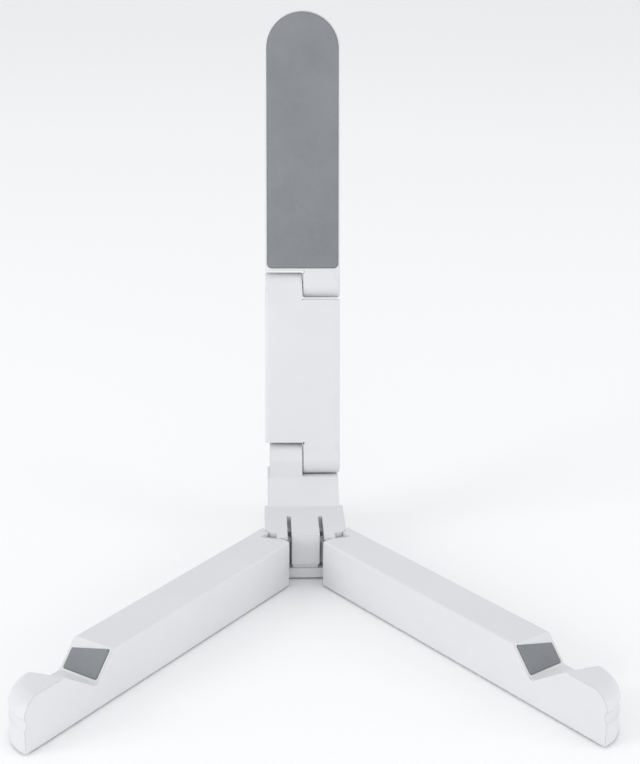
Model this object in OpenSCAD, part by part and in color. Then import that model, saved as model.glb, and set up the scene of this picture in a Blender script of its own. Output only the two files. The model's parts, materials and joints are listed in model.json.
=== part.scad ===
// Fold-up stand for an album or a tablet. Two low arms spread forward from a hub and hold the
// book's lower edge in their padded notches. A two-part column, hinged on the hub, leans back
// behind them and holds the book with its long pad.
// X runs to the right, -Y is the front, Z is up. The origin is on the table, midway between
// the two swing pins. Everything is drawn as the stand is set up for use.

/* [Arms] */
// Width of one arm
arm_w = 14.6; // [13:0.1:18]
// Height of an arm's top above the table
arm_h = 16.8; // [15:0.1:21]
// Reach of an arm, from its swing pin to its tip
arm_reach = 133.5; // [110:1:170]
// Angle that each arm is turned out from straight ahead
arm_spread = 35.8; // [25:0.1:42]
// Room between the two arms when they are folded side by side
arm_gap = 0.4; // [0.3:0.1:1.5]
// Wall of an arm
arm_wall = 2.2; // [1.6:0.1:3]
// Radius along the arm's upper edges
arm_edge_r = 0.9; // [0.4:0.1:1.5]

/* [Notches] */
// Distance from the arm's tip back to where the notch begins
notch_from_tip = 37; // [36.5:0.5:50]
// Depth of the notch
notch_depth = 8.2; // [5:0.1:10]
// Slope of the padded wall, in degrees
notch_wall_slope = 48; // [40:1:60]
// Slope of the side that rises to the lip, in degrees
notch_lip_slope = 36; // [28:1:45]
// Angle that the lip's side is turned towards straight ahead
notch_lip_skew = 18; // [0:1:24]
// Flat at the bottom of the notch
notch_floor = 1; // [0.5:0.1:3]
// Radius over the lip's outer edge
lip_r = 6; // [3:0.5:7]
// Thickness of a notch pad
notch_pad_t = 1; // [0.8:0.1:2]
// Depth of the groove around the arm's tip
tip_groove_depth = 0.9; // [0.3:0.1:1.2]

/* [Hub] */
// Width of the hub's front part
hub_w = 27.8; // [26:0.1:34]
// Width of the tongue in the middle of the hub
tongue_w = 9.6; // [8:0.1:11]
// Width of the slot on each side of the tongue
slot_w = 1.4; // [1:0.1:2]
// Distance from the swing pins forward to the tongue's front
tongue_reach = 5.9; // [5:0.1:7]
// Distance from the swing pins back to the ends of the slots
slot_back = 10.5; // [9:0.1:14]
// Distance from the swing pins back to the hub's shoulders
shoulder_back = 20; // [17:0.1:24]
// Width of the riser that carries the column
riser_w = 25.4; // [22:0.1:27]
// Distance from the swing pins back to the tilt pin
tilt_back = 37; // [30:0.5:45]
// Height of the tilt pin above the table
tilt_h = 28.4; // [27:0.1:34]
// Thickness of the hub's roof and of its base
hub_plate_t = 3.6; // [3:0.1:4.5]

/* [Column] */
// Width of the column
col_w = 27; // [24:0.1:32]
// Thickness of the column
col_t = 9; // [8.6:0.1:11]
// Distance from the tilt pin to the knuckle pin
lower_len = 63; // [50:0.5:80]
// Distance from the knuckle pin to the column's top
upper_len = 97.5; // [80:0.5:120]
// Angle that the column leans back from upright
col_lean = 14; // [5:0.5:25]
// Radius along the column's edges
col_edge_r = 2; // [1:0.1:3]
// Wall of the column
col_wall = 1.8; // [1.4:0.1:2.4]
// Radius of the knuckles at the tilt pin
tilt_r = 5.5; // [5:0.1:7]
// Gap above and below the knuckles
knuckle_gap = 0.55; // [0.4:0.05:1]
// Gap between two knuckles, side by side
seam_gap = 0.3; // [0.3:0.05:0.6]
// White rim around the column's pad
pad_rim = 0.8; // [0.5:0.1:2]
// Thickness of the column's pad
pad_t = 1.4; // [1:0.1:2]
// Height that the pads stand proud of their pockets
pad_proud = 0.4; // [0.2:0.1:1]

/* [Pins and screws] */
// Radius of the swing pins
swing_pin_r = 2; // [1.5:0.1:2.2]
// Radius of the tilt pin
tilt_pin_r = 1.75; // [1.5:0.05:2]
// Radius of the knuckle pin
knuckle_pin_r = 1.5; // [1.2:0.05:1.7]
// Radial clearance of a pin where it turns
pin_fit = 0.05; // [0.03:0.01:0.08]
// Radius of the screws' shanks
screw_r = 1.1; // [0.8:0.1:1.3]
// Radius of the screws' heads
screw_head_r = 2; // [1.6:0.1:2.3]
// Height of the screws' heads
screw_head_h = 1.2; // [0.8:0.1:1.4]
// Clearance between pieces that move past each other
run_gap = 0.35; // [0.3:0.05:0.6]
// Clearance around a piece that is set into another
set_gap = 0.1; // [0.05:0.05:0.2]

/* [Feet] */
// Thickness of the rubber feet
foot_t = 1.4; // [1:0.1:2]
// Height that the feet lift the stand
foot_proud = 0.6; // [0.4:0.1:1]

/* [Hidden] */

$fn = 96;
eps = 0.01;
// Length of cuts that only have to reach past a piece
far = 50;
white = [0.93, 0.93, 0.94];
grey = [0.55, 0.56, 0.57];
dark = [0.2, 0.2, 0.2];
steel = [0.75, 0.75, 0.77];
nylon = [0.85, 0.85, 0.8];

// Heights, from the table up
base_z = foot_proud;
base_top = base_z + hub_plate_t;
roof_z = arm_h - hub_plate_t;
pin_floor_t = 1.2;
pin_roof_t = 1.4;
spring_washer_t = 0.8;
top_washer_t = 0.5;
face_gap = 0.05;
ear_z = base_top + spring_washer_t + face_gap;
ear_top = roof_z - top_washer_t - face_gap;

// Plan of the hub, around the swing pins
hub_half = hub_w / 2;
finger_in = tongue_w / 2 + slot_w;
finger_r = (hub_half - finger_in) / 2;
swing_x = finger_in + finger_r;
tongue_low_z = 6;
tongue_front_t = 2;
web_half = tongue_w / 2 - 0.4;
web_front = tongue_reach - 1.2;
palm_r = norm([swing_x - tongue_w / 2, tongue_reach]);
palm_z = arm_h - 1.2;
ear_r = swing_x - web_half - run_gap;
bush_r = swing_pin_r + 1.2;
finger_room = finger_r + run_gap;
open_more = 5;
tongue_side = swing_x - tongue_w / 2;
tongue_turn = atan2(tongue_side, tongue_reach) - 3;

// Side of the hub's riser, and its screws
riser_front = shoulder_back - 1;
riser_rear = tilt_back + tilt_r - 0.5;
riser_slope_z = tilt_h - col_t / 2 - run_gap - 0.1;
saddle_rear_z = tilt_h - tilt_r - knuckle_gap + 0.8;
hub_wall = 2.4;
hub_screw_y = [shoulder_back - 2.5, riser_rear - 6.2];
hub_screw_x = riser_w / 2 - 6;
hub_screw_len = 9;
hub_foot_front = -4;
hub_foot_half = 6.5;
foot_corner_r = 2;

// An arm's own frame: X runs out along it, Y to its outer side, and Z up from its swing pin
inner_y = arm_gap / 2 - swing_x;
outer_y = inner_y + arm_w;
mid_y = (inner_y + outer_y) / 2;
notch_x = arm_reach - notch_from_tip;
notch_z = arm_h - notch_depth;
wall_run = notch_depth / tan(notch_wall_slope);
lip_run = notch_depth / tan(notch_lip_slope);
valley_x = notch_x + wall_run;
lip_x = valley_x + notch_floor + lip_run;
nose_x = arm_reach - arm_w;
cover_t = 1.8;
cover_ledge = 1;
root_x = palm_r + run_gap + arm_wall;
foot_w = arm_w - 5;
arm_foot_x = nose_x - 7;
arm_foot_len = 10;
arm_screw_x = [root_x + 7, notch_x - 10];
arm_screw_len = 6;
tip_groove_r = 2.4;
boss_r = screw_r + 1.3;

// The column's own frame: X right, Z up along it, -Y its front, from the tilt pin
knuckle_r = col_t / 2;
pin_head_r = 3;
pin_head_h = 1.6;
nut_r = 3;
nut_h = 1.8;
cap_t = 1.2;
cap_r = pin_head_r + 0.3;
nut_seat = cap_t + nut_h + 0.8;
col_half = col_w / 2;
hub_knuckle_out = riser_w / 2 - 0.8;
spring_disc_t = 0.7;
spring_disc_r = 3;
link_cover_t = 1.6;
top_arc_z = upper_len - col_half;
pad_low = knuckle_r + knuckle_gap + 1.1;
pad_half = col_half - pad_rim;
pad_corner_r = 1.8;
dot_r = 0.5;

// ---- Shared shapes ----

// A rectangle from [x0, y0] to [x1, y1] whose four corners have the radii r
module soft_rect(x0, y0, x1, y1, r) {
  translate([x0 + r, y0]) square([x1 - x0 - 2 * r, y1 - y0]);
  translate([x0, y0 + r]) square([x1 - x0, y1 - y0 - 2 * r]);
  for (x = [x0 + r, x1 - r], y = [y0 + r, y1 - r]) translate([x, y]) circle(r);
}

// A rod along X from x0 to x1
module rod(x0, x1, r) {
  translate([x0, 0, 0]) rotate([0, 90, 0]) cylinder(h = x1 - x0, r = r);
}

// A flat ring
module ring(r_in, r_out, h) {
  difference() {
    cylinder(h = h, r = r_out);
    translate([0, 0, -1]) cylinder(h = h + 2, r = r_in);
  }
}

// A pan-head screw that points up, with its head's underside at z = 0
module screw(length) {
  translate([0, 0, -screw_head_h]) difference() {
    cylinder(h = screw_head_h, r = screw_head_r);
    for (turn = [0, 90]) rotate(turn)
      translate([-screw_head_r * 0.6, -0.25, -1]) cube([screw_head_r * 1.2, 0.5, 1.6]);
  }
  translate([0, 0, -eps]) cylinder(h = length + eps, r = screw_r);
}

// The counterbored hole that a screw drops into, through a cover that is t thick
module screw_hole(t) {
  translate([0, 0, -t - 1]) cylinder(h = t + 1 - (t - screw_head_h) / 2, r = screw_head_r + set_gap);
  translate([0, 0, -t]) cylinder(h = t + 1, r = screw_r + set_gap);
}

module both_sides() {
  children();
  mirror([1, 0, 0]) children();
}

// ---- Places ----

module at_right_arm() {
  translate([swing_x, 0, 0]) rotate(arm_spread - 90) children();
}

module at_left_arm() {
  mirror([1, 0, 0]) at_right_arm() children();
}

module at_tilt_pin() {
  translate([0, tilt_back, tilt_h]) rotate([-col_lean, 0, 0]) children();
}

module at_knuckle_pin() {
  at_tilt_pin() translate([0, 0, lower_len]) children();
}

// ---- Hub ----

// Plan of the finger over and under one arm's root
module finger_plan() {
  translate([finger_in, 0]) square([2 * finger_r, slot_back + 1]);
  translate([swing_x, 0]) circle(finger_r);
}

// Plan of the palm that fills the space between a finger and the tongue
module palm_plan() {
  intersection() {
    translate([swing_x, 0]) circle(palm_r);
    translate([finger_in, -palm_r]) square([finger_r, palm_r]);
  }
}

module hub_roof_plan() {
  translate([-tongue_w / 2, -tongue_reach]) square([tongue_w, tongue_reach + slot_back + 1]);
  both_sides() finger_plan();
  translate([-hub_half, slot_back]) square([hub_w, shoulder_back - slot_back]);
}

module hub_base_plan() {
  translate([-finger_in - 1, -tongue_reach + 0.8]) square([2 * finger_in + 2, tongue_reach + slot_back]);
  both_sides() {
    finger_plan();
    palm_plan();
  }
  translate([-hub_half, slot_back]) square([hub_w, shoulder_back - slot_back]);
  translate([-riser_w / 2, shoulder_back - 1]) square([riser_w, riser_rear - shoulder_back + 1]);
}

// Side view of the riser: from the hub's roof up a slope to the knuckle
module riser_side() {
  polygon([
    [riser_front, roof_z], [riser_front, arm_h], [tilt_back - tilt_r, riser_slope_z],
    [tilt_back - tilt_r, tilt_h], [tilt_back + tilt_r, tilt_h], [tilt_back + tilt_r, arm_h],
    [tilt_back + tilt_r, roof_z]]);
  translate([tilt_back, tilt_h]) circle(tilt_r);
}

// Turns a side view, drawn as [y, z], into a solid from x0 to x1
module across(x0, x1) {
  translate([x0, 0, 0]) rotate([90, 0, 90]) linear_extrude(x1 - x0) children();
}

module hub_solid() {
  // Roof, with the tongue and the fingers
  translate([0, 0, roof_z]) linear_extrude(hub_plate_t) hub_roof_plan();
  // Thin palms beside the tongue
  both_sides() translate([0, 0, palm_z]) linear_extrude(arm_h - palm_z) palm_plan();
  // The tongue's turned-down front
  translate([-tongue_w / 2, -tongue_reach, tongue_low_z])
    cube([tongue_w, tongue_front_t, arm_h - tongue_low_z]);
  // Web between the two roots, and the block behind them
  translate([-web_half, -web_front, base_top])
    cube([2 * web_half, web_front + slot_back, roof_z - base_top + eps]);
  translate([-hub_half, ear_r + run_gap, base_top])
    cube([hub_w, shoulder_back - ear_r - run_gap, roof_z - base_top + eps]);
  translate([-riser_w / 2, shoulder_back - 1, base_top])
    cube([riser_w, riser_rear - shoulder_back + 1, roof_z - base_top + eps]);
  // Riser with the left-hand knuckle
  difference() {
    across(-riser_w / 2, riser_w / 2) riser_side();
    translate([-col_w, tilt_back - 20, tilt_h - tilt_r]) cube([col_w - hub_knuckle_out, 40, 20]);
  }
}

module hub_body() {
  color(white) difference() {
    hub_solid();
    // Room for the column's knuckle on the right
    translate([-seam_gap / 2, tilt_back, tilt_h]) rod(0, col_w, tilt_r + knuckle_gap);
    translate([-seam_gap / 2, tilt_back - 20, riser_slope_z - 0.1]) cube([col_w, 20, 40]);
    translate([-seam_gap / 2, tilt_back, saddle_rear_z]) cube([col_w, 20, 40]);
    // Bore of the tilt pin, the seat of its head, and the cap's seat
    translate([0, tilt_back, tilt_h]) {
      rod(-hub_knuckle_out - 1, 1, tilt_pin_r);
      rod(-hub_knuckle_out - 1, -hub_knuckle_out + cap_t + pin_head_h + 0.2, cap_r);
    }
    // Round room for each arm's root
    both_sides() translate([swing_x, 0, base_top - 1])
      cylinder(h = roof_z - base_top + 1, r = ear_r + run_gap);
    // Bores of the swing pins
    both_sides() translate([swing_x, 0, roof_z - 1]) cylinder(h = 1 + hub_plate_t - pin_roof_t, r = swing_pin_r);
    // Hollow under the block, with a boss around each screw
    difference() {
      translate([-hub_half + hub_wall, shoulder_back - 6, base_top - 1])
        cube([hub_w - 2 * hub_wall, riser_rear - shoulder_back + 6 - hub_wall, roof_z - base_top]);
      hub_bosses();
    }
    hub_screw_places() cylinder(h = hub_screw_len + 0.5, r = screw_r);
  }
}

module hub_screw_places() {
  for (y = hub_screw_y) both_sides()
    translate([hub_screw_x, y, base_z + hub_plate_t / 2]) children();
}

module hub_bosses() {
  for (y = hub_screw_y) both_sides()
    translate([hub_screw_x, y, base_top - 2]) cylinder(h = roof_z, r = boss_r + 0.6);
}

module hub_base() {
  color(white) difference() {
    translate([0, 0, base_z]) linear_extrude(hub_plate_t) hub_base_plan();
    // Bores of the swing pins
    both_sides() translate([swing_x, 0, base_z + pin_floor_t])
      cylinder(h = hub_plate_t, r = swing_pin_r);
    // Screw holes
    hub_screw_places() {
      translate([0, 0, -hub_plate_t]) cylinder(h = hub_plate_t, r = screw_head_r + set_gap);
      cylinder(h = hub_plate_t, r = screw_r + set_gap);
    }
    translate([0, 0, -1]) linear_extrude(1 + foot_t) hub_foot_plan(set_gap);
  }
}

module hub_foot_plan(grow) {
  half = hub_foot_half + grow;
  soft_rect(-half, hub_foot_front - grow, half, slot_back + 2 + grow, foot_corner_r);
}

module hub_foot() {
  color(dark) linear_extrude(foot_t) hub_foot_plan(0);
}

module hub_screws() {
  color(steel) hub_screw_places() screw(hub_screw_len);
}

module swing_pins() {
  color(steel) both_sides() translate([swing_x, 0, base_z + pin_floor_t])
    cylinder(h = arm_h - pin_roof_t - base_z - pin_floor_t, r = swing_pin_r);
}

module swing_spring_washers() {
  color(steel) both_sides() translate([swing_x, 0, base_top])
    ring(swing_pin_r + pin_fit, finger_r, spring_washer_t);
}

module swing_top_washers() {
  color(nylon) both_sides() translate([swing_x, 0, roof_z - top_washer_t])
    ring(swing_pin_r + pin_fit, finger_r, top_washer_t);
}

// ---- Arms ----

// Plan of the whole arm: straight sides and a quarter-round tip
module arm_plan() {
  translate([0, inner_y]) square([nose_x + eps, arm_w]);
  intersection() {
    translate([nose_x, inner_y]) circle(arm_w);
    translate([nose_x, inner_y]) square(arm_w);
  }
}

// Section across the arm, drawn as [y, z], with a soft upper edge on each side
module arm_section(outer_r) {
  translate([inner_y, base_z]) square([arm_w, arm_h - base_z - outer_r]);
  translate([inner_y + arm_edge_r, base_z]) square([arm_w - arm_edge_r - outer_r, arm_h - base_z]);
  translate([inner_y, base_z]) square([arm_w - outer_r, arm_h - base_z - arm_edge_r]);
  translate([inner_y + arm_edge_r, arm_h - arm_edge_r]) circle(arm_edge_r);
  translate([outer_y - outer_r, arm_h - outer_r]) circle(outer_r);
}

// Half section of the tip, from its centre out
module tip_section() {
  translate([0, base_z]) square([arm_w, arm_h - base_z - lip_r]);
  translate([0, base_z]) square([arm_w - lip_r, arm_h - base_z]);
  translate([arm_w - lip_r, arm_h - lip_r]) circle(lip_r);
}

// Side views of the notch's padded wall and of its side towards the lip, drawn as [x, z]
module notch_wall_side() {
  polygon([
    [notch_x, arm_h], [valley_x, notch_z], [arm_reach + 20, notch_z], [arm_reach + 20, arm_h + 5],
    [notch_x, arm_h + 5]]);
}

module notch_lip_side() {
  polygon([
    [-20, notch_z], [valley_x + notch_floor, notch_z], [lip_x, arm_h], [lip_x, arm_h + 5],
    [-20, arm_h + 5]]);
}

// The notch: what is both beyond the padded wall and before the lip's side, which is turned
// about the notch's inner corner
module notch_room() {
  intersection() {
    beside_arm(inner_y - 1, outer_y + 1) notch_wall_side();
    translate([valley_x, inner_y, 0]) rotate(-notch_lip_skew) translate([-valley_x, -inner_y, 0])
      beside_arm(inner_y - 10, outer_y + 15) notch_lip_side();
  }
}

// Extrudes a section, drawn as [y, z], along the arm from x0 to x1
module along_arm(x0, x1) {
  translate([x1, 0, 0]) rotate([90, 0, 90]) translate([0, 0, x0 - x1]) linear_extrude(x1 - x0) children();
}

// Turns a side view, drawn as [x, z], into a solid from y0 to y1
module beside_arm(y0, y1) {
  translate([0, y1, 0]) rotate([90, 0, 0]) linear_extrude(y1 - y0) children();
}

module arm_outside() {
  along_arm(0, valley_x) arm_section(arm_edge_r);
  along_arm(notch_x, nose_x) arm_section(lip_r);
  translate([nose_x, inner_y, 0]) rotate_extrude(angle = 90) tip_section();
}

// What the hub's plates and the tongue sweep through, as the arm swings
module finger_sweep_plan() {
  circle(finger_room);
  translate([-far, -far]) square([far, 2 * far]);
  rotate(180 - arm_spread - open_more)
    translate([0, -finger_room - 0.1]) square([far, 2 * (finger_room + 0.1)]);
}

// Room for the tongue beside an arm that is folded
module tongue_sweep_plan() {
  translate([-far, -far]) square([far + tongue_reach + run_gap, far - tongue_side + run_gap]);
}

module palm_sweep_plan() {
  intersection() {
    circle(palm_r + run_gap);
    translate([-far, -far]) square([2 * far, far + run_gap]);
  }
}

module web_sweep_plan() {
  intersection() {
    circle(palm_r + run_gap);
    rotate(90 - tongue_turn) translate([-far, -2 * far]) square([far, 4 * far]);
    translate([-far, -far]) square([2 * far, far]);
  }
  tongue_sweep_plan();
  translate([-far, -far]) square([far, 2 * far]);
}

arm_cavity_z = base_z + cover_t;
arm_cavity_end = notch_x - 2.5;

// Room inside the arm: a long one behind the notch and a low one under it
module arm_cavity() {
  translate([root_x, inner_y + arm_wall, base_z - 1])
    cube([arm_cavity_end - root_x, arm_w - 2 * arm_wall, arm_h - arm_wall - base_z + 1]);
  translate([root_x, inner_y + arm_wall, base_z - 1])
    cube([nose_x - 2 - root_x, arm_w - 2 * arm_wall, notch_z - arm_wall - base_z + 1]);
}

module arm_cover_plan(shrink) {
  ledge = arm_wall - cover_ledge + shrink;
  translate([root_x - cover_ledge + shrink, inner_y + ledge])
    square([nose_x - 1 - root_x + cover_ledge - 2 * shrink, arm_w - 2 * ledge]);
}

module arm_screw_places() {
  for (x = arm_screw_x) translate([x, mid_y, arm_cavity_z]) children();
}

// The notch pad lies on the sloping wall. Its frame: X down the wall, Z off the wall.
pad_len = notch_depth / sin(notch_wall_slope) - 1;
pad_side = 0.9;
pad_top = 0.6;
pad_round = 0.6;
pad_turn = 14;

module at_notch_wall() {
  translate([notch_x, 0, arm_h]) rotate([0, notch_wall_slope, 0]) children();
}

module notch_pad_plan(grow) {
  low_y = inner_y + pad_side - grow;
  difference() {
    soft_rect(pad_top - grow, low_y, pad_len + grow, outer_y - pad_side + grow, pad_round + grow);
    // Upper edge, turned about its inner end
    translate([pad_top - grow, low_y]) rotate(-pad_turn) translate([-far, -far]) square([far, 2 * far]);
  }
}

module arm_body() {
  color(white) difference() {
    union() {
      difference() {
        arm_outside();
        // Notch
        notch_room();
        // Room for the hub's roof and base
        translate([0, 0, ear_top]) linear_extrude(far) finger_sweep_plan();
        translate([0, 0, palm_z - run_gap]) linear_extrude(far) palm_sweep_plan();
        translate([0, 0, -1]) linear_extrude(ear_z + 1) {
          finger_sweep_plan();
          palm_sweep_plan();
        }
        // Room for the web and the tongue
        translate([0, 0, -1]) linear_extrude(arm_h + 2) web_sweep_plan();
      }
      translate([0, 0, ear_z]) cylinder(h = ear_top - ear_z, r = ear_r);
    }
    // Seat of the bush
    translate([0, 0, ear_z - 1]) cylinder(h = ear_top - ear_z + 2, r = bush_r);
    difference() {
      arm_cavity();
      arm_screw_places() cylinder(h = arm_h, r = boss_r);
    }
    // Seat of the cover
    translate([0, 0, base_z - 1]) linear_extrude(1 + cover_t) arm_cover_plan(0);
    arm_screw_places() cylinder(h = arm_screw_len + 0.5, r = screw_r);
    // Pocket of the notch pad
    at_notch_wall() translate([0, 0, pad_proud - notch_pad_t])
      linear_extrude(notch_pad_t + 4) notch_pad_plan(set_gap);
    // Groove around the tip
    translate([nose_x, inner_y, 0]) rotate_extrude(angle = 90)
      translate([arm_w + tip_groove_r - tip_groove_depth, arm_h - lip_r - 1.2]) circle(tip_groove_r);
  }
}

module arm_cover() {
  color(white) difference() {
    translate([0, 0, base_z]) linear_extrude(cover_t) arm_cover_plan(set_gap);
    arm_screw_places() screw_hole(cover_t);
    translate([0, 0, -1]) linear_extrude(1 + foot_t) arm_foot_plan(set_gap);
  }
}

module arm_screws() {
  color(steel) arm_screw_places() translate([0, 0, -(cover_t - screw_head_h) / 2]) screw(arm_screw_len);
}

module arm_foot_plan(grow) {
  half = foot_w / 2 + grow;
  soft_rect(arm_foot_x - arm_foot_len - grow, mid_y - half, arm_foot_x + grow, mid_y + half, foot_corner_r);
}

module arm_foot() {
  color(dark) linear_extrude(foot_t) arm_foot_plan(0);
}

module notch_pad() {
  color(grey) at_notch_wall() translate([0, 0, pad_proud - notch_pad_t])
    linear_extrude(notch_pad_t) notch_pad_plan(0);
}

module swing_bush() {
  color(nylon) translate([0, 0, ear_z])
    ring(swing_pin_r + pin_fit, bush_r, ear_top - ear_z);
}

module left_arm_body() { at_left_arm() arm_body(); }
module left_arm_cover() { at_left_arm() arm_cover(); }
module left_arm_screws() { at_left_arm() arm_screws(); }
module left_arm_foot() { at_left_arm() arm_foot(); }
module left_notch_pad() { at_left_arm() notch_pad(); }
module left_swing_bush() { at_left_arm() swing_bush(); }
module right_arm_body() { at_right_arm() arm_body(); }
module right_arm_cover() { at_right_arm() arm_cover(); }
module right_arm_screws() { at_right_arm() arm_screws(); }
module right_arm_foot() { at_right_arm() arm_foot(); }
module right_notch_pad() { at_right_arm() notch_pad(); }
module right_swing_bush() { at_right_arm() swing_bush(); }

// ---- Column ----

// Section across the column, drawn as [x, y]
module col_section() {
  soft_rect(-col_half, -col_t / 2, col_half, col_t / 2, col_edge_r);
}

// Cut that leaves a knuckle on one side only: everything within reach of the other knuckle,
// around a pin at z = 0, for x on the positive side
module knuckle_cut(r, down) {
  depth = r + knuckle_gap;
  flip = down ? 1 : 0;
  mirror([0, 0, flip]) {
    translate([-seam_gap / 2, -15, -15]) cube([col_w, 30, 15 + depth]);
    // Small relief at the inner corner of the cut
    translate([-seam_gap / 2, 0, depth - dot_r / 2]) rotate([90, 0, 0])
      cylinder(h = 30, r = dot_r, center = true);
  }
}

// Soft-edged rod across the column, for the knuckles
module knuckle_rod(x0, x1, r) {
  soft = col_edge_r * 0.4;
  rod(x0 + soft, x1 - soft, r);
  rod(x0, x1, r - soft);
  for (x = [x0 + soft, x1 - soft]) translate([x, 0, 0]) rotate([0, 90, 0])
    rotate_extrude() translate([r - soft, 0]) circle(soft);
}

lower_start = tilt_r + knuckle_gap;
lower_cavity_low = lower_start + 3;
lower_cavity_high = lower_len - knuckle_r - knuckle_gap - 3;
upper_cavity_low = knuckle_r + knuckle_gap + 3;
upper_cavity_high = top_arc_z + 2;
link_screw_in = 4;
link_screw_len = 3.6;
link_ledge = 1;

module link_cover_plan(z0, z1, shrink) {
  half = col_half - col_wall - shrink;
  soft_rect(-half, z0 - link_ledge + shrink, half, z1 + link_ledge - shrink, 1);
}

// Extrudes a plan drawn as [x, z] back from y = y0 by t
module plate_at(y0, t) {
  translate([0, y0 + t, 0]) rotate([90, 0, 0]) linear_extrude(t) children();
}

module link_cavity(z0, z1, front_wall) {
  y0 = -col_t / 2 + front_wall;
  half = col_half - col_wall - link_ledge;
  difference() {
    translate([-half, y0, z0]) cube([2 * half, col_t / 2 - y0 + 1, z1 - z0]);
    link_screw_places(z0, z1) cylinder(h = 30, r = boss_r, center = true);
  }
}

// A screw at each end of a cover, pointing forward
module link_screw_places(z0, z1) {
  for (z = [z0 + link_screw_in, z1 - link_screw_in])
    translate([0, col_t / 2 - link_cover_t, z]) rotate([90, 0, 0]) children();
}

module link_cover(z0, z1) {
  difference() {
    plate_at(col_t / 2 - link_cover_t, link_cover_t) link_cover_plan(z0, z1, set_gap);
    link_screw_places(z0, z1) screw_hole(link_cover_t);
  }
}

module link_screws(z0, z1) {
  link_screw_places(z0, z1) translate([0, 0, -(link_cover_t - screw_head_h) / 2]) screw(link_screw_len);
}

// Seat of a pin's head or nut and its cap, from the side face at x = face, going inward
module pin_seat(face, side, depth, r) {
  if (side > 0) rod(face - depth, face + 1, r);
  if (side < 0) rod(face - 1, face + depth, r);
}

module lower_link_body() {
  color(white) at_tilt_pin() difference() {
    union() {
      linear_extrude(lower_len) col_section();
      // Larger knuckle around the tilt pin, on the right
      knuckle_rod(0, col_half, tilt_r);
      // Knuckle around the knuckle pin, on the left
      translate([0, 0, lower_len]) knuckle_rod(-col_half, 0, knuckle_r);
    }
    // The hub's knuckle on the left, and the upper link's knuckle on the right
    mirror([1, 0, 0]) knuckle_cut(tilt_r, false);
    translate([0, 0, lower_len]) knuckle_cut(knuckle_r, true);
    // Bores and seats of the two pins
    rod(-1, col_w, tilt_pin_r + pin_fit);
    pin_seat(col_half, 1, nut_seat, cap_r);
    rod(-1, seam_gap / 2 + spring_disc_t, spring_disc_r + 0.2);
    translate([0, 0, lower_len]) {
      rod(-col_w, 1, knuckle_pin_r);
      pin_seat(-col_half, -1, cap_t + pin_head_h + 0.2, cap_r);
    }
    link_cavity(lower_cavity_low, lower_cavity_high, col_wall);
    plate_at(col_t / 2 - link_cover_t, link_cover_t + 1)
      link_cover_plan(lower_cavity_low, lower_cavity_high, 0);
    link_screw_places(lower_cavity_low, lower_cavity_high) cylinder(h = link_screw_len + 0.4, r = screw_r);
  }
}

module lower_link_cover() {
  color(white) at_tilt_pin() link_cover(lower_cavity_low, lower_cavity_high);
}

module lower_link_screws() {
  color(steel) at_tilt_pin() link_screws(lower_cavity_low, lower_cavity_high);
}

module upper_link_solid() {
  linear_extrude(top_arc_z) col_section();
  // Rounded top, with the same soft edges
  translate([0, 0, top_arc_z]) rotate([90, 0, 0]) rotate_extrude(angle = 180)
    intersection() {
      col_section();
      translate([0, -col_t]) square([col_w, 2 * col_t]);
    }
  knuckle_rod(0, col_half, knuckle_r);
}

// Plan of the column's pad, drawn as [x, z]: round at the top, small corners below
module column_pad_plan(grow) {
  half = pad_half + grow;
  translate([0, top_arc_z]) circle(half);
  translate([-half, pad_low + pad_corner_r]) square([2 * half, top_arc_z - pad_low - pad_corner_r]);
  translate([-half + pad_corner_r, pad_low - grow]) square([2 * (half - pad_corner_r), 2 * pad_corner_r]);
  for (x = [-half + pad_corner_r, half - pad_corner_r])
    translate([x, pad_low - grow + pad_corner_r]) circle(pad_corner_r);
}

module upper_link_body() {
  color(white) at_knuckle_pin() difference() {
    upper_link_solid();
    mirror([1, 0, 0]) knuckle_cut(knuckle_r, false);
    rod(-1, col_w, knuckle_pin_r + pin_fit);
    pin_seat(col_half, 1, nut_seat, cap_r);
    rod(-1, seam_gap / 2 + spring_disc_t, spring_disc_r + 0.2);
    link_cavity(upper_cavity_low, upper_cavity_high, pad_t - pad_proud + col_wall);
    plate_at(col_t / 2 - link_cover_t, link_cover_t + 1)
      link_cover_plan(upper_cavity_low, upper_cavity_high, 0);
    link_screw_places(upper_cavity_low, upper_cavity_high) cylinder(h = link_screw_len + 0.4, r = screw_r);
    // Pocket of the pad
    plate_at(-col_t / 2 - 2, 2 + pad_t - pad_proud) column_pad_plan(set_gap);
  }
}

module upper_link_cover() {
  color(white) at_knuckle_pin() link_cover(upper_cavity_low, upper_cavity_high);
}

module upper_link_screws() {
  color(steel) at_knuckle_pin() link_screws(upper_cavity_low, upper_cavity_high);
}

module column_pad() {
  color(grey) at_knuckle_pin() plate_at(-col_t / 2 - pad_proud, pad_t) column_pad_plan(0);
}

// ---- Cross pins ----

// A pin from a head on the left to a threaded end on the right
module cross_pin(face_left, face_right, r) {
  rod(-face_left + cap_t, -face_left + cap_t + pin_head_h, pin_head_r);
  rod(-face_left + cap_t + eps, face_right - cap_t - 0.4, r);
}

module cross_nut(face_right, r) {
  translate([face_right - cap_t - 0.4 - nut_h, 0, 0]) rotate([0, 90, 0]) difference() {
    cylinder(h = nut_h, r = nut_r, $fn = 6);
    translate([0, 0, -1]) cylinder(h = nut_h + 2, r = r);
  }
}

module cross_spring_washer(r) {
  translate([seam_gap / 2, 0, 0]) rotate([0, 90, 0])
    ring(r + pin_fit, spring_disc_r, spring_disc_t - face_gap);
}

module side_cap(face, side) {
  if (side > 0) rod(face - cap_t + set_gap, face, cap_r - set_gap);
  if (side < 0) rod(face, face + cap_t - set_gap, cap_r - set_gap);
}

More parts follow.
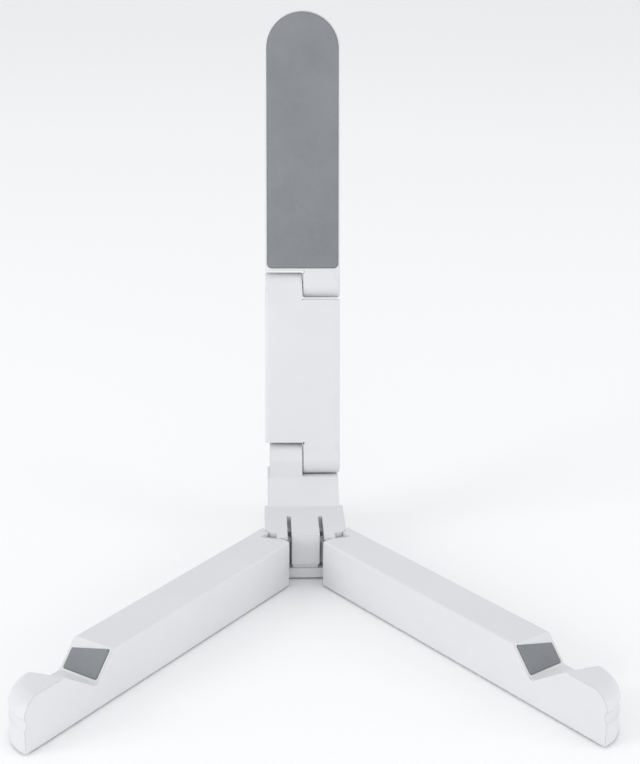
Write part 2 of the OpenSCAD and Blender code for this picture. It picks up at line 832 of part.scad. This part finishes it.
module tilt_pin() {
  color(steel) at_tilt_pin() cross_pin(hub_knuckle_out, col_half, tilt_pin_r);
}
module tilt_nut() {
  color(steel) at_tilt_pin() cross_nut(col_half, tilt_pin_r);
}
module tilt_spring_washer() {
  color(steel) at_tilt_pin() cross_spring_washer(tilt_pin_r);
}
module tilt_cap_left() {
  color(white) at_tilt_pin() side_cap(-hub_knuckle_out, -1);
}
module tilt_cap_right() {
  color(white) at_tilt_pin() side_cap(col_half, 1);
}
module knuckle_pin() {
  color(steel) at_knuckle_pin() cross_pin(col_half, col_half, knuckle_pin_r);
}
module knuckle_nut() {
  color(steel) at_knuckle_pin() cross_nut(col_half, knuckle_pin_r);
}
module knuckle_spring_washer() {
  color(steel) at_knuckle_pin() cross_spring_washer(knuckle_pin_r);
}
module knuckle_cap_left() {
  color(white) at_knuckle_pin() side_cap(-col_half, -1);
}
module knuckle_cap_right() {
  color(white) at_knuckle_pin() side_cap(col_half, 1);
}

hub_body();
hub_base();
hub_foot();
hub_screws();
swing_pins();
swing_spring_washers();
swing_top_washers();
tilt_pin();
tilt_nut();
tilt_spring_washer();
tilt_cap_left();
left_arm_body();
left_arm_cover();
left_arm_screws();
left_arm_foot();
left_notch_pad();
left_swing_bush();
right_arm_body();
right_arm_cover();
right_arm_screws();
right_arm_foot();
right_notch_pad();
right_swing_bush();
lower_link_body();
lower_link_cover();
lower_link_screws();
tilt_cap_right();
knuckle_pin();
knuckle_nut();
knuckle_spring_washer();
knuckle_cap_left();
upper_link_body();
upper_link_cover();
upper_link_screws();
column_pad();
knuckle_cap_right();
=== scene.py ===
import json
import math

import bpy
import numpy as np
from mathutils import Matrix, Vector


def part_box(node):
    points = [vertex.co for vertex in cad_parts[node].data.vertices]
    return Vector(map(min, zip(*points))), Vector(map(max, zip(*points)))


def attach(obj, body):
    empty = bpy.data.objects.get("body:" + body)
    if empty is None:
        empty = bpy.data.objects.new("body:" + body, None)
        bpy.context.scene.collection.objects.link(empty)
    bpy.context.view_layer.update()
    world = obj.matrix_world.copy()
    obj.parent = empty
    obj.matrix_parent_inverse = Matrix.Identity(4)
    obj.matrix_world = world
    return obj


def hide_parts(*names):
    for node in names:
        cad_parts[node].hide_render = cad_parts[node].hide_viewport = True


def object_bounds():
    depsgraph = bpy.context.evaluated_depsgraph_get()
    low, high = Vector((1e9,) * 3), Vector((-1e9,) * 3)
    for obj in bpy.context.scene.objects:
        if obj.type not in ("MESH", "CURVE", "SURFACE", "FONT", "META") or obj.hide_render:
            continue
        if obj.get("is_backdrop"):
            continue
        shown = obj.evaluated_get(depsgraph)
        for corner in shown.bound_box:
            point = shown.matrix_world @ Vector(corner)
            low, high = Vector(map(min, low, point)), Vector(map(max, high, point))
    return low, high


MM = 0.001

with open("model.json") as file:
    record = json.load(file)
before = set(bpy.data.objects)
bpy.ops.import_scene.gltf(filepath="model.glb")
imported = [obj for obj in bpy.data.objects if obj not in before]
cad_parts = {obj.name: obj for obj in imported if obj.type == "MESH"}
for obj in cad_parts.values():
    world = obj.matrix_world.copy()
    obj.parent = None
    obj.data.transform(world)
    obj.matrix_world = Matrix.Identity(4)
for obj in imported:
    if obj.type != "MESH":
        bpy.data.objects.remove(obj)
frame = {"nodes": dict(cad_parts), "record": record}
record = frame["record"]
cad_box = [list(corner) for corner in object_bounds()]
joints = {j["name"]: j for j in record["behaviour"]["joints"]}


# ---- Materials ----

def node_input(bsdf, name, value):
    """Sets the shader's own socket, if this version has it."""
    if name in bsdf.inputs:
        bsdf.inputs[name].default_value = value


class Shader:
    """A small builder for one procedural material."""

    def __init__(self, name):
        self.material = bpy.data.materials.new(name)
        self.material.use_nodes = True
        self.tree = self.material.node_tree
        self.bsdf = next(n for n in self.tree.nodes if n.type == "BSDF_PRINCIPLED")
        self.place = self.tree.nodes.new("ShaderNodeTexCoord").outputs["Object"]

    def link(self, a, b):
        self.tree.links.new(a, b)

    def stretched(self, scale):
        node = self.tree.nodes.new("ShaderNodeMapping")
        node.inputs["Scale"].default_value = scale
        self.link(self.place, node.inputs["Vector"])
        return node.outputs["Vector"]

    def noise(self, scale, detail=3.0, rough=0.5, where=None, distortion=0.0):
        node = self.tree.nodes.new("ShaderNodeTexNoise")
        node.inputs["Scale"].default_value = scale
        node.inputs["Detail"].default_value = detail
        node.inputs["Roughness"].default_value = rough
        node.inputs["Distortion"].default_value = distortion
        self.link(where or self.place, node.inputs["Vector"])
        return node.outputs["Fac"]

    def cells(self, scale, where=None):
        node = self.tree.nodes.new("ShaderNodeTexVoronoi")
        node.inputs["Scale"].default_value = scale
        self.link(where or self.place, node.inputs["Vector"])
        return node.outputs["Distance"]

    def ranged(self, value, low, high, out_low, out_high):
        node = self.tree.nodes.new("ShaderNodeMapRange")
        numbers = {"From Min": low, "From Max": high, "To Min": out_low, "To Max": out_high}
        for socket, number in numbers.items():
            node.inputs[socket].default_value = number
        self.link(value, node.inputs["Value"])
        return node.outputs["Result"]

    def add(self, a, b, weight):
        node = self.tree.nodes.new("ShaderNodeMath")
        node.operation = "MULTIPLY_ADD"
        self.link(b, node.inputs[0])
        node.inputs[1].default_value = weight
        self.link(a, node.inputs[2])
        return node.outputs[0]

    def tint(self, value, dark, light):
        node = self.tree.nodes.new("ShaderNodeMix")
        node.data_type = "RGBA"
        self.link(value, node.inputs[0])
        node.inputs[6].default_value = (*dark, 1)
        node.inputs[7].default_value = (*light, 1)
        self.link(node.outputs[2], self.bsdf.inputs["Base Color"])

    def bump(self, height, distance, strength=1.0, edge=0.0):
        node = self.tree.nodes.new("ShaderNodeBump")
        node.inputs["Distance"].default_value = distance
        node.inputs["Strength"].default_value = strength
        self.link(height, node.inputs["Height"])
        if edge:
            soft = self.tree.nodes.new("ShaderNodeBevel")
            soft.samples = 6
            soft.inputs["Radius"].default_value = edge
            self.link(soft.outputs["Normal"], node.inputs["Normal"])
        self.link(node.outputs["Normal"], self.bsdf.inputs["Normal"])


def white_shell():
    s = Shader("white_shell")
    cloud = s.noise(28, 4, 0.55)
    s.tint(s.ranged(cloud, 0.3, 0.7, 0, 1), (0.69, 0.696, 0.708), (0.73, 0.736, 0.746))
    smudge = s.add(s.noise(60, 5, 0.6, distortion=0.6), s.noise(900, 2), 0.25)
    s.link(s.ranged(smudge, 0.35, 0.9, 0.33, 0.5), s.bsdf.inputs["Roughness"])
    grain = s.add(s.noise(3800, 3, 0.6), s.noise(240, 3), 0.8)
    s.bump(grain, 0.00002, 0.55, edge=0.00045)
    node_input(s.bsdf, "Specular IOR Level", 0.45)
    node_input(s.bsdf, "IOR", 1.52)
    return s.material


def grey_pad():
    s = Shader("grey_pad")
    blotch = s.add(s.noise(45, 5, 0.6), s.noise(2600, 2), 0.35)
    s.tint(s.ranged(blotch, 0.4, 0.95, 0, 1), (0.205, 0.215, 0.225), (0.26, 0.27, 0.28))
    s.link(s.ranged(s.noise(140, 4), 0.3, 0.7, 0.58, 0.8), s.bsdf.inputs["Roughness"])
    skin = s.add(s.cells(2400), s.noise(5200, 2), 0.5)
    s.bump(skin, 0.00006, 0.6, edge=0.0002)
    node_input(s.bsdf, "Specular IOR Level", 0.3)
    node_input(s.bsdf, "Sheen Weight", 0.08)
    node_input(s.bsdf, "Sheen Roughness", 0.5)
    return s.material


def rubber_foot():
    s = Shader("rubber_foot")
    s.tint(s.noise(300, 4), (0.03, 0.03, 0.032), (0.06, 0.06, 0.062))
    s.link(s.ranged(s.noise(500, 3), 0.3, 0.7, 0.65, 0.85), s.bsdf.inputs["Roughness"])
    s.bump(s.cells(3000), 0.00005, 0.7, edge=0.0003)
    node_input(s.bsdf, "Specular IOR Level", 0.3)
    return s.material


def steel():
    s = Shader("steel")
    lines = s.noise(1200, 3, 0.6, where=s.stretched((1, 1, 14)))
    s.tint(lines, (0.50, 0.50, 0.52), (0.66, 0.66, 0.68))
    s.link(s.ranged(lines, 0.3, 0.7, 0.24, 0.42), s.bsdf.inputs["Roughness"])
    s.bump(lines, 0.00001, 0.5, edge=0.00012)
    node_input(s.bsdf, "Metallic", 1.0)
    node_input(s.bsdf, "Anisotropic", 0.3)
    return s.material


def nylon():
    s = Shader("nylon")
    s.tint(s.noise(400, 3), (0.68, 0.66, 0.58), (0.76, 0.74, 0.67))
    s.link(s.ranged(s.noise(600, 3), 0.3, 0.7, 0.45, 0.6), s.bsdf.inputs["Roughness"])
    s.bump(s.noise(2500, 3), 0.00002, 0.5, edge=0.0001)
    return s.material


MATERIALS = {"white_shell": white_shell(), "grey_pad": grey_pad(), "rubber_foot": rubber_foot(),
             "steel": steel(), "nylon": nylon()}

for part in record["subparts"]:
    node = frame["nodes"][part["node"]]
    node.data.materials.clear()
    node.data.materials.append(MATERIALS[part["material_slot"]])


# ---- Pads ----

class PadPlan:
    """A pad's outline in its own plane: u across, v along.

    The far end is an arc where round_top is set. The near end is turned by the angle turn, so that
    it rises towards positive u."""

    def __init__(self, half, low, high, corner, round_top, turn=0.0):
        self.half, self.low, self.high, self.corner = half, low, high, corner
        self.top_corner = half if round_top else corner
        self.slope = math.tan(turn)

    def moved(self, u, v):
        """v, moved to make room for the turned near end."""
        rise = self.slope * u + abs(self.slope) * self.half
        return v + rise * (self.high - v) / (self.high - self.low)

    def corners(self):
        return [(u, self.moved(u, v)) for u in (-self.half, self.half) for v in (self.low, self.high)]

    def side(self, v):
        """Half width of the outline at v."""
        for gap, r in ((v - self.low, self.corner), (self.high - v, self.top_corner)):
            if gap < r:
                return self.half - r + math.sqrt(max(r * r - (r - gap) ** 2, 0))
        return self.half

    def depth(self, u, v):
        """Distance from a point inside to the outline."""
        near_top = self.high - v < v - self.low
        r = self.top_corner if near_top else self.corner
        gap = self.high - v if near_top else v - self.low
        a, b = r - (self.half - abs(u)), r - gap
        if a > 0 and b > 0:
            return max(r - math.hypot(a, b), 0)
        return max(min(self.half - abs(u), gap), 0)


def eased(n):
    """n + 1 numbers from -1 to 1, close together near both ends."""
    return [math.sin(math.pi / 2 * (2 * i / n - 1)) for i in range(n + 1)]


# The slight unevenness of a pad's face: waves with their rates across and along, and their phase
PAD_WAVES = ((1.9, 0.35, 0.0), (0.0, 0.83, 1.3), (0.7, -0.21, 0.0))
CROWN_POWER = 0.7
EDGE_INSET = 0.02
WELD_REACH = 0.000002
CREASE_ANGLE = math.radians(60)


def make_pad(name, plan, place, thick, rows, columns, edge, crown, slump):
    """A moulded pad with rounded edges and a slightly crowned, slightly uneven face.

    Its face looks along -Y of place, and its back lies thick behind the face."""
    def face(u, v):
        d = plan.depth(u, v)
        drop = edge - math.sqrt(max(edge * edge - max(edge - d, 0) ** 2, 0))
        rise = crown * min(d / plan.half, 1) ** CROWN_POWER
        wave = slump * sum(math.sin(u * across_rate + v * along_rate + phase)
                           for across_rate, along_rate, phase in PAD_WAVES)
        return drop + crown - rise + (wave + len(PAD_WAVES) * slump) * min(d / edge, 1) * 0.5
    us, vs = eased(columns), eased(rows)
    middle, reach = (plan.low + plan.high) / 2, (plan.high - plan.low) / 2
    inset = edge * EDGE_INSET
    verts, faces = [], []
    for layer in (0, 1):
        for t in vs:
            v = middle + t * (reach - inset)
            for w in us:
                u = w * plan.side(v)
                y = thick if layer else face(u, v)
                verts.append(place @ Vector((u * MM, y * MM, plan.moved(u, v) * MM)))
    wide, count = columns + 1, (columns + 1) * (rows + 1)
    for i in range(rows):
        for j in range(columns):
            a = i * wide + j
            faces.append((a, a + 1, a + wide + 1, a + wide))
            faces.append((count + a, count + a + wide, count + a + wide + 1, count + a + 1))
    rim = list(range(wide)) + [i * wide + columns for i in range(1, rows + 1)]
    rim += [rows * wide + j for j in range(columns - 1, -1, -1)]
    rim += [i * wide for i in range(rows - 1, 0, -1)]
    for a, b in zip(rim, rim[1:] + rim[:1]):
        faces.append((b, a, a + count, b + count))
    mesh = bpy.data.meshes.new(name)
    mesh.from_pydata(verts, [], faces)
    mesh.validate()
    mesh.update()
    for polygon in mesh.polygons:
        polygon.use_smooth = True
    pad = bpy.data.objects.new(name, mesh)
    bpy.context.scene.collection.objects.link(pad)
    merge = pad.modifiers.new("merge", "WELD")
    merge.merge_threshold = WELD_REACH
    split = pad.modifiers.new("crease", "EDGE_SPLIT")
    split.split_angle = CREASE_ANGLE
    mesh.materials.append(MATERIALS["grey_pad"])
    return pad


# The column's own direction, from its two joints
tilt_pin = Vector(joints["column_tilt"]["pos_m"])
knuckle_pin = Vector(joints["pad_tilt"]["pos_m"])
up = (knuckle_pin - tilt_pin).normalized()
back = Vector((0, up.z, -up.y))
column_turn = Matrix(((1, 0, 0), (0, back.y, up.y), (0, back.z, up.z))).to_4x4()
column_place = Matrix.Translation(knuckle_pin) @ column_turn

# The column pad's extents along and across that direction, from its box
low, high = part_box("column_pad")
sums = np.array([[up.y, 0, up.z, 0], [0, up.y, 0, up.z], [up.z, 0, 0, -up.y], [0, up.z, -up.y, 0]])
known = [low.y - knuckle_pin.y, high.y - knuckle_pin.y, low.z - knuckle_pin.z, high.z - knuckle_pin.z]
from_z, to_z, front_y, back_y = np.linalg.solve(sums, known) / MM
half = (high.x - low.x) / 2 / MM

PAD_ROOM = 0.02
COLUMN_PAD_CORNER = 1.8
column_plan = PadPlan(half - PAD_ROOM, from_z + PAD_ROOM, to_z - PAD_ROOM, COLUMN_PAD_CORNER, True)
face_place = column_place @ Matrix.Translation((0, front_y * MM, 0))
column_pad = make_pad("column_pad_soft", column_plan, face_place, back_y - front_y,
                      rows=130, columns=36, edge=0.45, crown=0.08, slump=0.008)
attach(column_pad, "upper_link")
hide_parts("column_pad")

# The notch pads lie on the sloping walls of the arms' notches
NOTCH_SLOPE = math.radians(48)
NOTCH_PAD_HALF = 6.4
NOTCH_PAD_LENGTH = 9.43
NOTCH_PAD_THICK = 1.0
NOTCH_PAD_CORNER = 0.6
NOTCH_PAD_TURN = math.radians(14)
for side, name in ((-1, "left"), (1, "right")):
    joint = joints[f"{name}_arm_swing"]
    spread = math.radians(max(abs(limit) for limit in joint["range_deg"]))
    out = Vector((side * math.sin(spread), -math.cos(spread), 0))
    across = Vector((math.cos(spread), side * math.sin(spread), 0))
    down = out * math.cos(NOTCH_SLOPE) + Vector((0, 0, -math.sin(NOTCH_SLOPE)))
    off = down.cross(across)
    low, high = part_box(f"{name}_notch_pad")
    axes = Matrix((-across, -off, down)).transposed()
    reach = NOTCH_PAD_LENGTH / 2
    plan = PadPlan(NOTCH_PAD_HALF - PAD_ROOM, -reach, reach, NOTCH_PAD_CORNER, False,
                   -side * NOTCH_PAD_TURN)
    # The pad's flat outline, turned into place, has its box's middle where the CAD pad has it
    flat = [axes @ Vector((u, y, v)) for u, v in plan.corners() for y in (0, NOTCH_PAD_THICK)]
    own = Vector([(min(p[i] for p in flat) + max(p[i] for p in flat)) / 2 for i in range(3)])
    place = Matrix.Translation((low + high) / 2 - own * MM) @ axes.to_4x4()
    pad = make_pad(f"{name}_notch_pad_soft", plan, place, NOTCH_PAD_THICK,
                   rows=40, columns=40, edge=0.3, crown=0.05, slump=0.006)
    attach(pad, f"{name}_arm")
    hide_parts(f"{name}_notch_pad")


# ---- Stage ----

FLOOR_REACH = 12.0
FLOOR_CELLS = 8


def make_floor():
    s = Shader("stage_floor")
    s.tint(s.ranged(s.noise(1.5, 3), 0.3, 0.7, 0, 1), (0.985, 0.985, 0.985), (0.992, 0.992, 0.992))
    s.link(s.ranged(s.noise(3, 3), 0.3, 0.7, 0.75, 0.9), s.bsdf.inputs["Roughness"])
    s.bump(s.noise(400, 2), 0.0001, 0.1)
    node_input(s.bsdf, "Specular IOR Level", 0.1)
    n = FLOOR_CELLS
    steps = [FLOOR_REACH * (2 * i / n - 1) for i in range(n + 1)]
    verts = [(x, y, 0) for y in steps for x in steps]
    corners = [j * (n + 1) + i for j in range(n) for i in range(n)]
    faces = [(a, a + 1, a + n + 2, a + n + 1) for a in corners]
    mesh = bpy.data.meshes.new("floor")
    mesh.from_pydata(verts, [], faces)
    mesh.materials.append(s.material)
    floor = bpy.data.objects.new("floor", mesh)
    bpy.context.scene.collection.objects.link(floor)
    floor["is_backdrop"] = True


def soft_light(name, where, aim, size, power):
    data = bpy.data.lights.new(name, "AREA")
    data.shape = "RECTANGLE"
    data.size, data.size_y = size
    data.energy = power
    light = bpy.data.objects.new(name, data)
    light.location = where
    light.rotation_mode = "QUATERNION"
    light.rotation_quaternion = (Vector(aim) - Vector(where)).to_track_quat("-Z", "Y")
    bpy.context.scene.collection.objects.link(light)


make_floor()
# Each light's place, its size and its power in watts
AIM = (0, -0.02, 0.06)
LIGHTS = {
    "left_key": ((-1.45, -0.62, 0.62), (0.8, 0.8), 6.9),
    "right_key": ((1.45, -0.6, 0.42), (0.8, 0.8), 4.6),
    "front_fill": ((-0.1, -1.7, 0.3), (0.7, 0.4), 1.5),
    "top": ((0.1, 0.5, 1.7), (1.8, 1.8), 1.0)}
for name, (where, size, power) in LIGHTS.items():
    soft_light(name, where, AIM, size, power)

SKY_COLOUR = (0.97, 0.98, 1.0, 1)
SKY_STRENGTH = 0.85
world = bpy.data.worlds.new("studio")
world.use_nodes = True
sky = world.node_tree.nodes["Background"]
sky.inputs["Color"].default_value = SKY_COLOUR
sky.inputs["Strength"].default_value = SKY_STRENGTH
bpy.context.scene.world = world


# ---- Camera ----

CAMERA_PLACE = (-0.01647, -0.47832, 0.23097)
YAW, PITCH, ROLL = (math.radians(angle) for angle in (2.51, 18.58, 0.63))
FOCAL_PX, LONG_SIDE_PX, SENSOR = 1514.0, 764, 36.0
forward = Vector((math.sin(YAW) * math.cos(PITCH), math.cos(YAW) * math.cos(PITCH), -math.sin(PITCH)))
level = Vector((math.cos(YAW), -math.sin(YAW), 0))
rise = level.cross(forward)
right = level * math.cos(ROLL) + rise * math.sin(ROLL)
top = rise * math.cos(ROLL) - level * math.sin(ROLL)
data = bpy.data.cameras.new("camera")
data.sensor_width = SENSOR
data.lens = FOCAL_PX * SENSOR / LONG_SIDE_PX
data.clip_start = 0.01
data.clip_end = 50
camera = bpy.data.objects.new("camera", data)
turn = Matrix((right, top, -forward)).transposed().to_4x4()
camera.matrix_world = Matrix.Translation(CAMERA_PLACE) @ turn
bpy.context.scene.collection.objects.link(camera)
bpy.context.scene.camera = camera
bpy.context.scene.view_settings.view_transform = "Standard"

bpy.context.view_layer.update()
size = {"cad": cad_box, "visual": [list(corner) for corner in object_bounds()]}
